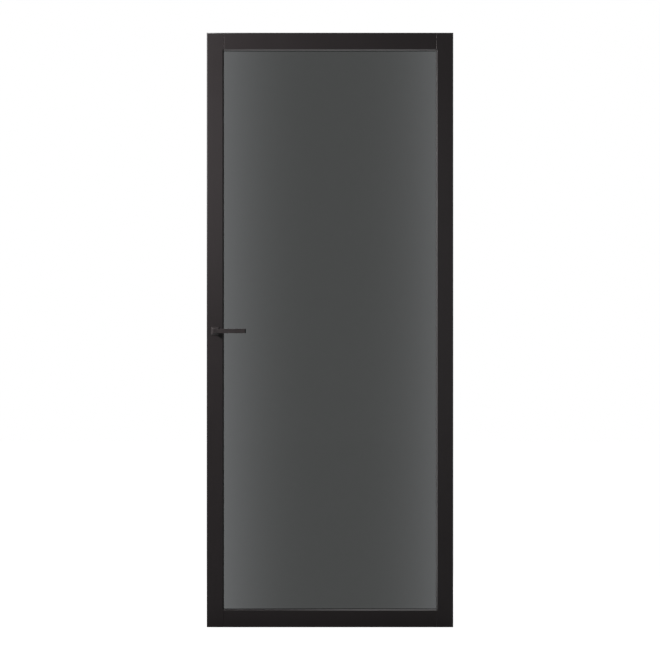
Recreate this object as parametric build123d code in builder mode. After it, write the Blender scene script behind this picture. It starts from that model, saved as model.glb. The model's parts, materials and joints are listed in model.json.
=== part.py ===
from build123d import *
from math import cos, radians, sin, tan
import os

# Glass door leaf: black lacquered timber stiles and rails around one sheet of smoked glass,
# a slim lever on square roses, a magnetic latch lock and three butt hinges.
# +Z is up, X runs from the lock edge to the hinge edge, -Y is the side with the plain face.
# The origin is at the middle of the leaf's underside. All sizes are in millimetres.

os.makedirs("parts", exist_ok=True)

# Shared by every cut
overrun = 1.0

# Leaf frame
leaf_width = 877.0
leaf_height = 2115.0
leaf_thickness = 40.0
stile_width = 60.5
rail_width = 64.0
front_arris = 3.0
sight_bevel = 4.6
sight_bevel_angle = 45.0
seam_rounding = 1.5
rear_arris = 1.2
rebate_width = 13.0
lip_thickness = 15.0

# Corner dowels
dowel_radius = 5.0
dowel_length = 76.0
dowel_clearance = 0.05
dowel_end_room = 1.0
dowel_spread_share = 0.46

# Glazing
glass_thickness = 6.0
glass_clearance = 3.0
glass_arris = 0.6
seal_thickness = 2.0
seal_setback = 0.5
bead_arris = 3.0
block_length = 100.0
setting_block_share = 0.25
location_block_share = 0.42

# Brads that hold the beads, punched under the surface and filled
brad_radius = 0.8
brad_length = 24.0
brad_cover = 2.0
brad_clearance = 0.05
side_brad_shares = (0.04, 0.22, 0.4, 0.6, 0.78, 0.96)
rail_brad_shares = (0.14, 0.5, 0.86)

# Lever set
lever_height = 1054.0
lever_length = 114.0
lever_section = 15.5
lever_depth = 10.0
lever_projection = 46.0
neck_width = 13.0
lever_arris = 0.9
lever_turn = 40.0
lever_backset = 29.5
rose_size = 28.5
rose_height = 7.0
rose_bevel = 6.4
rose_bevel_angle = 30.0
rose_wall = 1.2
rose_base_room = 0.3
neck_gap = 0.5
journal_radius = 7.0
journal_length = 16.0
running_clearance = 0.05
bush_wall = 2.0
bush_length = 14.0
bush_clearance = 0.1
spindle_size = 8.0
spindle_length = 104.0
square_clearance = 0.05
socket_end_room = 1.0
grub_radius = 2.5
grub_clearance = 0.05
grub_sunk = 0.4
grub_key_radius = 1.4
grub_key_depth = 1.8
grub_share = 0.5
rose_screw_radius = 1.5
rose_screw_head_radius = 2.7
rose_screw_length = 12.0
rose_screw_place_share = 0.69
screw_clearance = 0.1

# Lock
faceplate_width = 20.0
faceplate_thickness = 3.0
faceplate_margin = 28.0
faceplate_clearance = 0.1
faceplate_screw_radius = 2.0
faceplate_screw_head_radius = 3.9
faceplate_screw_length = 30.0
lock_wall = 1.5
lock_room = 0.7
mortise_clearance = 0.5
tenon_height = 8.0
tenon_shares = (0.2, 0.85)
cover_screw_radius = 1.4
cover_screw_head_radius = 2.5
cover_screw_length = 8.0
post_radius = 3.2
post_inset_share = 0.75

# Follower, turned by the spindle
follower_radius = 9.0
follower_journal_radius = 7.5
arm_lean = 30.0
arm_thickness = 5.0
nose_radius = 2.0
tail_reach = 14.0
stop_stud_radius = 2.0
stop_gap = 0.3

# Latch bolt, drawn out by a magnet in the strike and pulled back by the follower
latch_throw = 11.0
latch_width = 10.0
latch_height = 16.0
latch_side_room = 0.5
latch_arris = 0.8
lug_thickness = 2.5
lug_rear_room = 1.5
peg_length = 3.0
peg_height = 3.0
magnet_radius = 3.9
magnet_depth = 4.0
magnet_clearance = 0.05
guide_stud_radius = 2.2
guide_clearance = 0.3
guide_wall = 2.5

# Flat springs bent to a U
spring_strip = 0.8
spring_width = 5.0
spring_room = 1.0
spring_seat_gap = 0.3
lever_spring_leg = 14.0
latch_spring_leg = 10.0

# Butt hinges
hinge_height = 89.0
hinge_end_distance = 230.0
wing_proud = 0.3
fold_gap = 0.5
wing_thickness = 1.8
wing_reach = 20.0
wing_corner = 5.0
wing_clearance = 0.1
barrel_radius = 4.8
barrel_offset = 0.6
pin_radius = 2.5
pin_head_radius = 4.0
pin_head_height = 1.8
knuckle_gap = 0.8
knuckle_count = 5
washer_room = 0.1
wing_hole_radius = 2.1
wing_hole_rows = 9.0
wing_hole_columns = 60.0
wing_sink_radius = 3.6
hinge_screw_length = 25.0
sink_angle = 90.0

# Leaf reference planes
x_lock = -leaf_width / 2
x_hinge = leaf_width / 2
y_front = -leaf_thickness / 2
y_rear = leaf_thickness / 2
y_lip = y_front + lip_thickness
y_glass_front = y_lip + seal_thickness
y_glass_rear = y_glass_front + glass_thickness
y_bead = y_glass_rear + seal_thickness
core_width = rail_width - rebate_width
sight_width = leaf_width - 2 * stile_width
sight_height = leaf_height - 2 * rail_width
rebate_span_x = sight_width + 2 * rebate_width
rebate_span_z = sight_height + 2 * rebate_width
glass_width = rebate_span_x - 2 * glass_clearance
glass_height = rebate_span_z - 2 * glass_clearance
z_middle = leaf_height / 2

# Lever planes, on the front side
x_spindle = x_lock + lever_backset
y_rose = y_front - rose_height
y_neck = y_rose - neck_gap
y_bar_front = y_front - lever_projection
y_bar_back = y_bar_front + lever_depth
y_journal = y_neck + journal_length
rose_slope = tan(radians(rose_bevel_angle))
rose_bevel_depth = rose_bevel * rose_slope
rose_base_thickness = rose_height - rose_bevel_depth - rose_wall
y_rose_base = y_front - rose_base_thickness
bush_radius = journal_radius + running_clearance + bush_wall
bush_under_bevel = max(bush_radius - (rose_size / 2 - rose_bevel), 0)
y_cap_inside = y_rose + rose_wall / cos(radians(rose_bevel_angle)) + bush_under_bevel * rose_slope
y_bush = y_cap_inside + bush_clearance
stile_bore_radius = bush_radius + bush_clearance
rose_base_size = rose_size - 2 * (rose_wall + rose_base_room)
rose_screw_place = rose_base_size / 2 * rose_screw_place_share

# Lock planes
case_thickness = latch_width + 2 * (latch_side_room + lock_wall)
y_case_front = -case_thickness / 2
y_case_rear = case_thickness / 2
y_cover = y_case_rear - lock_wall
x_case_front = x_lock + faceplate_thickness
arm_reach = latch_throw / (sin(radians(arm_lean)) + sin(radians(lever_turn - arm_lean)))
x_nose = x_spindle - arm_reach * sin(radians(arm_lean))
z_nose = lever_height + arm_reach * cos(radians(arm_lean))
x_lug_front = x_nose + nose_radius + lock_room + latch_throw
x_lug_rear = x_lug_front + lug_thickness
x_case_inner = x_lug_rear + lug_rear_room
x_case_rear = x_case_inner + lock_wall
z_lug = z_nose + lock_room
z_latch_bottom = lever_height + arm_reach + nose_radius + lock_room
z_latch_top = z_latch_bottom + latch_height
z_latch = (z_latch_bottom + z_latch_top) / 2
guide_slot_radius = guide_stud_radius + guide_clearance
x_guide = x_lock + magnet_depth + guide_wall + guide_slot_radius
x_spring_fixed = x_case_front + spring_room + spring_strip / 2
x_lever_spring = x_spindle - nose_radius - spring_seat_gap - spring_strip / 2
x_latch_spring = x_lug_front - peg_length - spring_seat_gap - spring_strip / 2
lever_spring_radius = (x_lever_spring - x_spring_fixed) / 2
latch_spring_radius = (x_latch_spring - x_spring_fixed) / 2
z_lever_spring = lever_height - tail_reach - lever_spring_leg
z_latch_spring = z_latch_top + latch_spring_leg
z_case_bottom = z_lever_spring - lever_spring_radius - spring_strip / 2 - spring_room - lock_wall
z_case_top = z_latch_spring + latch_spring_radius + spring_strip / 2 + spring_room + lock_wall
case_height = z_case_top - z_case_bottom
z_case = (z_case_top + z_case_bottom) / 2
faceplate_length = case_height + 2 * faceplate_margin
faceplate_screw_reach = (faceplate_length - faceplate_width) / 2
tenon_heights = [z_case_bottom + share * case_height for share in tenon_shares]
post_inset = post_inset_share * post_radius
post_places = [
    ((x_spring_fixed + x_lever_spring) / 2, z_lever_spring),
    ((x_spring_fixed + x_latch_spring) / 2, z_latch_spring),
    (x_case_inner - post_inset, z_case_bottom + lock_wall + post_inset),
    (x_case_inner - post_inset, z_case_top - lock_wall - post_inset),
]

# Hinge lines
x_frame_seat = x_hinge + wing_proud
x_frame_wing = x_frame_seat - wing_thickness
x_leaf_face = x_frame_wing - fold_gap
x_leaf_wing = x_leaf_face - wing_thickness
hinge_x = x_frame_seat - barrel_radius
hinge_y = y_rear + barrel_radius + barrel_offset
knuckle_length = (hinge_height - (knuckle_count - 1) * knuckle_gap) / knuckle_count
wing_hole_y = y_rear - wing_reach / 2
hinge_heights = {
    "upper": leaf_height - hinge_end_distance,
    "middle": z_middle,
    "lower": hinge_end_distance,
}


def face_plane(y):
    """Plane across the leaf at depth y: sketch X is X, sketch Y is Z, extrusions go to the front."""
    return Plane.XZ.offset(-y)


def span(x_from, x_to, z_from, z_to, mode=Mode.ADD):
    """Rectangle between two corners of the active sketch."""
    with Locations(((x_from + x_to) / 2, (z_from + z_to) / 2)):
        Rectangle(x_to - x_from, z_to - z_from, mode=mode)


def hand_over(piece, node):
    """Label a finished piece and write it out under its node's name."""
    piece.part.label = node
    export_step(piece.part, f"parts/{node}.step")


def countersunk_screw(head_radius, shank_radius, length):
    """Screw with its flat head at the origin and its shank along -Z."""
    with BuildPart() as screw:
        with BuildSketch(Plane.XZ):
            with BuildLine():
                Polyline(
                    (0, 0),
                    (head_radius, 0),
                    (shank_radius, shank_radius - head_radius),
                    (shank_radius, -length),
                    (0, -length),
                    close=True,
                )
            make_face()
        revolve(axis=Axis.Z)
    return screw.part


# Places shared by a fastener and its holes
dowel_y = (y_lip + y_rear) / 2
dowel_places = [
    (side * rebate_span_x / 2, dowel_y, z_outer + inward * core_width * (1 + spread * dowel_spread_share) / 2)
    for side in (-1, 1)
    for z_outer, inward in ((0, 1), (leaf_height, -1))
    for spread in (-1, 1)
]
brad_y = (y_bead + y_rear) / 2
brad_reach = brad_cover + brad_length / 2
side_brad_places = [
    (side * (sight_width / 2 + brad_reach), brad_y, rail_width + share * sight_height)
    for side in (-1, 1)
    for share in side_brad_shares
]
rail_brad_places = [
    ((share - rail_brad_shares[1]) * sight_width, brad_y, z_middle + side * (sight_height / 2 + brad_reach))
    for side in (-1, 1)
    for share in rail_brad_shares
]
wing_hole_places = [
    (wing_hole_y + row * wing_hole_rows / 2, z_hinge + column * wing_hole_columns / 2)
    for z_hinge in hinge_heights.values()
    for row in (-1, 1)
    for column in (-1, 1)
]
rose_screw_places = [
    (x_spindle + corner * rose_screw_place, lever_height + corner * rose_screw_place) for corner in (-1, 1)
]
faceplate_screw_places = [
    Plane(origin=(x_lock, 0, z_case + end * faceplate_screw_reach), z_dir=(-1, 0, 0)) for end in (-1, 1)
]


def bore_for_dowels():
    """Holes for the corner dowels in the piece being made."""
    with Locations(*dowel_places):
        Cylinder(
            dowel_radius + dowel_clearance,
            dowel_length + 2 * dowel_end_room,
            rotation=(0, 90, 0),
            mode=Mode.SUBTRACT,
        )


def bore_for_brads():
    """Holes for the bead brads in the piece being made."""
    with Locations(*side_brad_places):
        Cylinder(brad_radius + brad_clearance, brad_length, rotation=(0, 90, 0), mode=Mode.SUBTRACT)
    with Locations(*rail_brad_places):
        Cylinder(brad_radius + brad_clearance, brad_length, mode=Mode.SUBTRACT)


def ease_front(member, seam_points, outer_points):
    """An arris on the outer edges, rounded edges along the joints and the mitred bevel round the glass."""
    chamfer([member.edges().sort_by_distance(point)[0] for point in outer_points], length=front_arris)
    fillet([member.edges().sort_by_distance(point)[0] for point in seam_points], radius=seam_rounding)
    with BuildSketch(face_plane(y_front + sight_bevel)) as opening:
        with Locations((0, z_middle)):
            Rectangle(sight_width, sight_height)
    extrude(opening.sketch, amount=sight_bevel, taper=-sight_bevel_angle, mode=Mode.SUBTRACT)


def stile_blank(side):
    """Upright with the glazing rebate, on the lock side (-1) or the hinge side (1)."""
    x_outer = side * leaf_width / 2
    x_sight = side * sight_width / 2
    x_core = side * rebate_span_x / 2
    with BuildPart() as blank:
        with BuildSketch():
            with BuildLine():
                Polyline(
                    (x_outer, y_front),
                    (x_sight, y_front),
                    (x_sight, y_lip),
                    (x_core, y_lip),
                    (x_core, y_rear),
                    (x_outer, y_rear),
                    close=True,
                )
            make_face()
        extrude(amount=leaf_height)
        x_middle = (x_outer + x_sight) / 2
        ends = [(x_middle, y_front, z) for z in (0, leaf_height)]
        ease_front(blank, [(x_sight, y_front, z_middle)], [(x_outer, y_front, z_middle), *ends])
        chamfer(blank.faces().sort_by(Axis.Y)[-1].edges(), length=rear_arris)
        bore_for_dowels()
        bore_for_brads()
    return blank.part


# Lock stile: upright with the lock mortise, faceplate recess and spindle bore
with BuildPart() as lock_stile:
    add(stile_blank(-1))
    with BuildSketch(Plane.YZ.offset(x_lock)):
        with Locations((0, z_case)):
            Rectangle(case_thickness + 2 * mortise_clearance, case_height + 2 * mortise_clearance)
    extrude(amount=x_case_rear + mortise_clearance - x_lock, mode=Mode.SUBTRACT)
    with BuildSketch(Plane.YZ.offset(x_lock)):
        with Locations((0, z_case)):
            SlotOverall(
                faceplate_length + 2 * faceplate_clearance,
                faceplate_width + 2 * faceplate_clearance,
                rotation=90,
            )
    extrude(amount=faceplate_thickness, mode=Mode.SUBTRACT)
    with BuildSketch(face_plane(0)):
        with Locations((x_spindle, lever_height)):
            Circle(stile_bore_radius)
    extrude(amount=leaf_thickness, both=True, mode=Mode.SUBTRACT)
    with Locations(*faceplate_screw_places):
        Hole(faceplate_screw_radius + screw_clearance, depth=faceplate_screw_length + screw_clearance)
    rose_screw_depth = rose_screw_length - rose_base_thickness + screw_clearance
    for side in (-1, 1):
        with BuildSketch(face_plane(side * (y_rear - rose_screw_depth / 2))):
            with Locations(*rose_screw_places):
                Circle(rose_screw_radius + screw_clearance)
        extrude(amount=rose_screw_depth / 2, both=True, mode=Mode.SUBTRACT)
hand_over(lock_stile, "lock_stile")

# Hinge stile: upright with a recess and screw holes for each leaf wing
with BuildPart() as hinge_stile:
    add(stile_blank(1))
    for z_hinge in hinge_heights.values():
        with BuildSketch(Plane.YZ.offset(x_leaf_wing)) as recess:
            with Locations((y_rear - wing_reach / 2, z_hinge)):
                Rectangle(wing_reach + 2 * wing_clearance, hinge_height + 2 * wing_clearance)
            fillet(recess.vertices().group_by(Axis.X)[0], radius=wing_corner)
        extrude(amount=x_hinge - x_leaf_wing + overrun, mode=Mode.SUBTRACT)
    with BuildSketch(Plane.YZ.offset(x_leaf_face)):
        with Locations(*wing_hole_places):
            Circle(wing_hole_radius)
    extrude(amount=-hinge_screw_length - screw_clearance, mode=Mode.SUBTRACT)
hand_over(hinge_stile, "hinge_stile")

# Rails: the front lip stops at the stiles' lips, the core runs on behind them
for node, z_outer, inward in (("bottom_rail", 0, 1), ("top_rail", leaf_height, -1)):
    with BuildPart() as rail:
        with BuildSketch(Plane.YZ):
            with Locations(((y_front + y_lip) / 2, z_outer + inward * rail_width / 2)):
                Rectangle(lip_thickness, rail_width)
        extrude(amount=sight_width / 2, both=True)
        with BuildSketch(Plane.YZ):
            with Locations(((y_lip + y_rear) / 2, z_outer + inward * core_width / 2)):
                Rectangle(leaf_thickness - lip_thickness, core_width)
        extrude(amount=rebate_span_x / 2, both=True)
        z_rail = z_outer + inward * rail_width / 2
        ends = [(side * sight_width / 2, y_front, z_rail) for side in (-1, 1)]
        ease_front(rail, ends, [(0, y_front, z_outer)])
        chamfer(rail.faces().sort_by(Axis.Y)[-1].edges(), length=rear_arris)
        bore_for_dowels()
        bore_for_brads()
    hand_over(rail, node)

with BuildPart() as corner_dowels:
    with Locations(*dowel_places):
        Cylinder(dowel_radius, dowel_length, rotation=(0, 90, 0))
hand_over(corner_dowels, "corner_dowels")

# Glass with ground edges
with BuildPart() as glass_pane:
    with BuildSketch(face_plane(y_glass_rear)):
        with Locations((0, z_middle)):
            Rectangle(glass_width, glass_height)
    extrude(amount=glass_thickness)
    chamfer(glass_pane.faces().group_by(Axis.Y)[0].edges(), length=glass_arris)
    chamfer(glass_pane.faces().group_by(Axis.Y)[-1].edges(), length=glass_arris)
hand_over(glass_pane, "glass_pane")

# Glazing seals: flat rings that stop just short of the sight line
for node, y_back in (("front_glazing_seal", y_glass_front), ("rear_glazing_seal", y_bead)):
    with BuildPart() as seal:
        with BuildSketch(face_plane(y_back)):
            with Locations((0, z_middle)):
                Rectangle(glass_width, glass_height)
                Rectangle(sight_width + 2 * seal_setback, sight_height + 2 * seal_setback, mode=Mode.SUBTRACT)
        extrude(amount=seal_thickness)
    hand_over(seal, node)

# Blocks between the glass edge and the rebate: the lower ones carry the pane
with BuildPart() as setting_blocks:
    with BuildSketch(face_plane(y_glass_rear)):
        with Locations((0, core_width + glass_clearance / 2)):
            with GridLocations(2 * setting_block_share * glass_width, 0, 2, 1):
                Rectangle(block_length, glass_clearance)
    extrude(amount=glass_thickness)
hand_over(setting_blocks, "setting_blocks")

with BuildPart() as location_blocks:
    with BuildSketch(face_plane(y_glass_rear)):
        with Locations((0, z_middle)):
            with GridLocations(glass_width + glass_clearance, 2 * location_block_share * glass_height, 2, 2):
                Rectangle(glass_clearance, block_length)
        with Locations((0, leaf_height - core_width - glass_clearance / 2)):
            with GridLocations(2 * setting_block_share * glass_width, 0, 2, 1):
                Rectangle(block_length, glass_clearance)
    extrude(amount=glass_thickness)
hand_over(location_blocks, "location_blocks")

# Rear beads, mitred at the corners, with a broad arris on the sight side
for node, turned, side in (
    ("lock_side_bead", False, -1),
    ("hinge_side_bead", False, 1),
    ("bottom_bead", True, -1),
    ("top_bead", True, 1),
):
    across = Axis.Z if turned else Axis.X
    half_back = (rebate_span_z if turned else rebate_span_x) / 2
    half_sight = (sight_height if turned else sight_width) / 2
    back_run = (rebate_span_x if turned else rebate_span_z) / 2
    sight_run = (sight_width if turned else sight_height) / 2
    outline = [
        (side * half_back, -back_run),
        (side * half_back, back_run),
        (side * half_sight, sight_run),
        (side * half_sight, -sight_run),
    ]
    if turned:
        outline = [(run, depth) for depth, run in outline]
    with BuildPart() as bead:
        with BuildSketch(face_plane(y_rear)):
            with Locations((0, z_middle)):
                Polygon(*outline, align=None)
        extrude(amount=y_rear - y_bead)
        rear_edges = bead.faces().sort_by(Axis.Y)[-1].edges().sort_by(across)
        sight_edge = rear_edges[0] if side > 0 else rear_edges[-1]
        chamfer(sight_edge, length=bead_arris)
        rear_edges = bead.faces().sort_by(Axis.Y)[-1].edges().sort_by(across)
        back_edge = rear_edges[-1] if side > 0 else rear_edges[0]
        chamfer(back_edge, length=rear_arris)
        bore_for_brads()
    hand_over(bead, node)

with BuildPart() as bead_brads:
    with Locations(*side_brad_places):
        Cylinder(brad_radius, brad_length, rotation=(0, 90, 0))
    with Locations(*rail_brad_places):
        Cylinder(brad_radius, brad_length)
hand_over(bead_brads, "bead_brads")

# Faceplate: round-ended plate let into the lock edge, with a window for the latch
with BuildPart() as lock_faceplate:
    with BuildSketch(Plane.YZ.offset(x_lock)):
        with Locations((0, z_case)):
            SlotOverall(faceplate_length, faceplate_width, rotation=90)
        with Locations((0, z_latch)):
            Rectangle(
                latch_width + 2 * latch_side_room,
                latch_height + 2 * latch_side_room,
                mode=Mode.SUBTRACT,
            )
        with Locations(*[(y_case_front + lock_wall / 2, height) for height in tenon_heights]):
            Rectangle(
                lock_wall + 2 * faceplate_clearance,
                tenon_height + 2 * faceplate_clearance,
                mode=Mode.SUBTRACT,
            )
    extrude(amount=faceplate_thickness)
    with Locations(*faceplate_screw_places):
        CounterSinkHole(
            faceplate_screw_radius + screw_clearance,
            faceplate_screw_head_radius + screw_clearance,
            counter_sink_angle=sink_angle,
        )
hand_over(lock_faceplate, "lock_faceplate")

with BuildPart() as faceplate_screws:
    with Locations(*faceplate_screw_places):
        add(countersunk_screw(faceplate_screw_head_radius, faceplate_screw_radius, faceplate_screw_length))
hand_over(faceplate_screws, "faceplate_screws")

# Lock case: a tray with tenons staked in the faceplate, screw posts and two studs
with BuildPart() as lock_case:
    with BuildSketch(face_plane(y_cover)):
        span(x_case_front, x_case_rear, z_case_bottom, z_case_top)
    extrude(amount=y_cover - y_case_front)
    with BuildSketch(face_plane(y_cover)):
        span(x_case_front, x_case_inner, z_case_bottom + lock_wall, z_case_top - lock_wall)
    extrude(amount=y_cover - y_case_front - lock_wall, mode=Mode.SUBTRACT)
    with BuildSketch(face_plane(y_case_front + lock_wall)):
        for height in tenon_heights:
            span(x_lock, x_case_front, height - tenon_height / 2, height + tenon_height / 2)
    extrude(amount=lock_wall)
    with BuildSketch(face_plane(y_cover)):
        with Locations(*post_places):
            Circle(post_radius)
        with Locations((x_guide, z_latch)):
            Circle(guide_stud_radius)
        with Locations((x_spindle + nose_radius + stop_gap + stop_stud_radius, lever_height - tail_reach)):
            Circle(stop_stud_radius)
    extrude(amount=y_cover - y_case_front - lock_wall)
    with BuildSketch(face_plane(y_cover)):
        with Locations(*post_places):
            Circle(cover_screw_radius + screw_clearance)
    extrude(amount=cover_screw_length - lock_wall + screw_clearance, mode=Mode.SUBTRACT)
    with BuildSketch(face_plane(0)):
        with Locations((x_spindle, lever_height)):
            Circle(follower_journal_radius + running_clearance)
    extrude(amount=case_thickness, both=True, mode=Mode.SUBTRACT)
hand_over(lock_case, "lock_case")

cover_screw_planes = [Plane(origin=(x, y_case_rear, z), z_dir=(0, 1, 0)) for x, z in post_places]
with BuildPart() as lock_cover:
    with BuildSketch(face_plane(y_case_rear)):
        span(x_case_front, x_case_rear, z_case_bottom, z_case_top)
        with Locations((x_spindle, lever_height)):
            Circle(follower_journal_radius + running_clearance, mode=Mode.SUBTRACT)
    extrude(amount=lock_wall)
    with Locations(*cover_screw_planes):
        CounterSinkHole(
            cover_screw_radius + screw_clearance,
            cover_screw_head_radius + screw_clearance,
            counter_sink_angle=sink_angle,
        )
hand_over(lock_cover, "lock_cover")

with BuildPart() as lock_cover_screws:
    with Locations(*cover_screw_planes):
        add(countersunk_screw(cover_screw_head_radius, cover_screw_radius, cover_screw_length))
hand_over(lock_cover_screws, "lock_cover_screws")

# Follower: hub on journals, with an arm that pulls the latch and a tail on the return spring
with BuildPart() as follower:
    hub_thickness = case_thickness - 2 * (lock_wall + lock_room)
    with BuildSketch(face_plane(0)):
        with Locations((x_spindle, lever_height)):
            Circle(follower_radius)
    extrude(amount=hub_thickness / 2, both=True)
    with BuildSketch(face_plane(0)):
        with Locations((x_spindle, lever_height)):
            Circle(follower_journal_radius)
    extrude(amount=case_thickness / 2, both=True)
    with BuildSketch(face_plane(0)):
        SlotCenterPoint(
            ((x_spindle + x_nose) / 2, (lever_height + z_nose) / 2),
            (x_nose, z_nose),
            2 * nose_radius,
        )
        SlotCenterPoint(
            (x_spindle, lever_height - tail_reach / 2),
            (x_spindle, lever_height - tail_reach),
            2 * nose_radius,
        )
    extrude(amount=arm_thickness / 2, both=True)
    with BuildSketch(face_plane(0)):
        with Locations((x_spindle, lever_height)):
            Rectangle(spindle_size + 2 * square_clearance, spindle_size + 2 * square_clearance)
    extrude(amount=case_thickness, both=True, mode=Mode.SUBTRACT)
hand_over(follower, "follower")


def u_spring(x_moving, z_bend, bend_radius, z_tips):
    """Flat strip bent to a U: one leg at the faceplate, the other on the piece that it returns."""
    x_bend = (x_spring_fixed + x_moving) / 2
    outwards = 1 if z_bend > z_tips else -1
    with BuildPart() as spring:
        with BuildSketch(face_plane(0)):
            with BuildLine():
                Line((x_spring_fixed, z_tips), (x_spring_fixed, z_bend))
                ThreePointArc(
                    (x_spring_fixed, z_bend),
                    (x_bend, z_bend + outwards * bend_radius),
                    (x_moving, z_bend),
                )
                Line((x_moving, z_bend), (x_moving, z_tips))
            trace(line_width=spring_strip)
        extrude(amount=spring_width / 2, both=True)
    return spring


lever_return_spring = u_spring(
    x_lever_spring, z_lever_spring, lever_spring_radius, lever_height - follower_radius - lock_room
)
hand_over(lever_return_spring, "lever_return_spring")
latch_return_spring = u_spring(x_latch_spring, z_latch_spring, latch_spring_radius, z_latch_top + lock_room)
hand_over(latch_return_spring, "latch_return_spring")

# Latch bolt: flush with the faceplate at rest, slotted for the guide stud
with BuildPart() as latch_bolt:
    with BuildSketch(face_plane(0)):
        span(x_lock, x_lug_rear, z_latch_bottom, z_latch_top)
        span(x_lug_front, x_lug_rear, z_lug, z_latch_bottom)
        span(x_lug_front - peg_length, x_lug_front, z_latch_top, z_latch_top + peg_height)
        with Locations((x_guide + latch_throw / 2, z_latch)):
            SlotOverall(latch_throw + 2 * guide_slot_radius, 2 * guide_slot_radius, mode=Mode.SUBTRACT)
    extrude(amount=latch_width / 2, both=True)
    chamfer(latch_bolt.faces().sort_by(Axis.X)[0].edges(), length=latch_arris)
    with Locations(Plane(origin=(x_lock, 0, z_latch), z_dir=(-1, 0, 0))):
        Hole(magnet_radius + magnet_clearance, depth=magnet_depth)
hand_over(latch_bolt, "latch_bolt")

with BuildPart() as latch_magnet:
    with BuildSketch(Plane.YZ.offset(x_lock)):
        with Locations((0, z_latch)):
            Circle(magnet_radius)
    extrude(amount=magnet_depth)
hand_over(latch_magnet, "latch_magnet")

with BuildPart() as spindle:
    with BuildSketch(face_plane(0)):
        with Locations((x_spindle, lever_height)):
            Rectangle(spindle_size, spindle_size)
    extrude(amount=spindle_length / 2, both=True)
hand_over(spindle, "spindle")

# Front lever: square neck and bar in one piece, with a round journal and a square socket
y_socket = -spindle_length / 2 - socket_end_room
y_grub = y_neck + grub_share * (y_socket - y_neck)
z_lever_low = lever_height - lever_section / 2
z_spindle_low = lever_height - spindle_size / 2 - square_clearance
with BuildPart() as front_lever:
    x_neck_left = x_spindle - neck_width / 2
    x_neck_right = x_spindle + neck_width / 2
    with BuildSketch(face_plane(y_bar_back)):
        span(x_neck_left, x_neck_left + lever_length, z_lever_low, z_lever_low + lever_section)
    extrude(amount=lever_depth)
    with BuildSketch(face_plane(y_neck)):
        span(x_neck_left, x_neck_right, z_lever_low, z_lever_low + lever_section)
    extrude(amount=y_neck - y_bar_back)
    neck_end = front_lever.faces().sort_by(Axis.Y)[-1].edges()
    upright_edges = front_lever.edges().filter_by(Axis.Z)
    inner_corner = upright_edges.sort_by_distance((x_neck_right, y_bar_back, lever_height))[0:1]
    fillet(front_lever.edges() - neck_end - inner_corner, radius=lever_arris)
    with BuildSketch(face_plane(y_journal)):
        with Locations((x_spindle, lever_height)):
            Circle(journal_radius)
    extrude(amount=y_journal - y_neck)
    with BuildSketch(face_plane(y_journal)):
        with Locations((x_spindle, lever_height)):
            Rectangle(spindle_size + 2 * square_clearance, spindle_size + 2 * square_clearance)
    extrude(amount=y_journal - y_socket, mode=Mode.SUBTRACT)
    with Locations(Plane(origin=(x_spindle, y_grub, z_lever_low), z_dir=(0, 0, -1))):
        Hole(grub_radius + grub_clearance, depth=z_spindle_low - z_lever_low + square_clearance)
hand_over(front_lever, "front_lever")

with BuildPart() as rear_lever:
    mirror(front_lever.part, about=Plane.XZ)
hand_over(rear_lever, "rear_lever")

# Grub screws that clamp the levers to the spindle, with a hexagon socket
with BuildPart() as lever_grub_screws:
    with BuildSketch(Plane.XY.offset(z_lever_low + grub_sunk)):
        with Locations((x_spindle, y_grub), (x_spindle, -y_grub)):
            Circle(grub_radius)
    extrude(amount=z_spindle_low - z_lever_low - grub_sunk)
    with BuildSketch(Plane.XY.offset(z_lever_low + grub_sunk)):
        with Locations((x_spindle, y_grub), (x_spindle, -y_grub)):
            RegularPolygon(grub_key_radius, 6)
    extrude(amount=grub_key_depth, mode=Mode.SUBTRACT)
hand_over(lever_grub_screws, "lever_grub_screws")

# Rose: bevelled square cap over a screwed base plate, with a nylon bush for the lever
with BuildPart() as front_rose_cap:
    with BuildSketch(face_plane(y_front)):
        with Locations((x_spindle, lever_height)):
            Rectangle(rose_size, rose_size)
    extrude(amount=rose_height)
    cap_face = front_rose_cap.faces().sort_by(Axis.Y)[0]
    chamfer(cap_face.edges(), length=rose_bevel, length2=rose_bevel_depth, reference=cap_face)
    offset(amount=-rose_wall, openings=front_rose_cap.faces().sort_by(Axis.Y)[-1])
    with BuildSketch(face_plane(y_front)):
        with Locations((x_spindle, lever_height)):
            Circle(journal_radius + neck_gap)
    extrude(amount=rose_height, mode=Mode.SUBTRACT)
hand_over(front_rose_cap, "front_rose_cap")

with BuildPart() as front_rose_base:
    with BuildSketch(face_plane(y_front)):
        with Locations((x_spindle, lever_height)):
            Rectangle(rose_base_size, rose_base_size)
            Circle(stile_bore_radius, mode=Mode.SUBTRACT)
    extrude(amount=rose_base_thickness)
    with Locations(*[Plane(origin=(x, y_rose_base, z), z_dir=(0, -1, 0)) for x, z in rose_screw_places]):
        CounterSinkHole(
            rose_screw_radius + screw_clearance,
            rose_screw_head_radius + screw_clearance,
            counter_sink_angle=sink_angle,
        )
hand_over(front_rose_base, "front_rose_base")

with BuildPart() as front_lever_bush:
    with BuildSketch(face_plane(y_bush + bush_length)):
        with Locations((x_spindle, lever_height)):
            Circle(bush_radius)
            Circle(journal_radius + running_clearance, mode=Mode.SUBTRACT)
    extrude(amount=bush_length)
hand_over(front_lever_bush, "front_lever_bush")

with BuildPart() as rear_rose_cap:
    mirror(front_rose_cap.part, about=Plane.XZ)
hand_over(rear_rose_cap, "rear_rose_cap")

with BuildPart() as rear_rose_base:
    mirror(front_rose_base.part, about=Plane.XZ)
hand_over(rear_rose_base, "rear_rose_base")

with BuildPart() as rear_lever_bush:
    mirror(front_lever_bush.part, about=Plane.XZ)
hand_over(rear_lever_bush, "rear_lever_bush")

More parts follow.
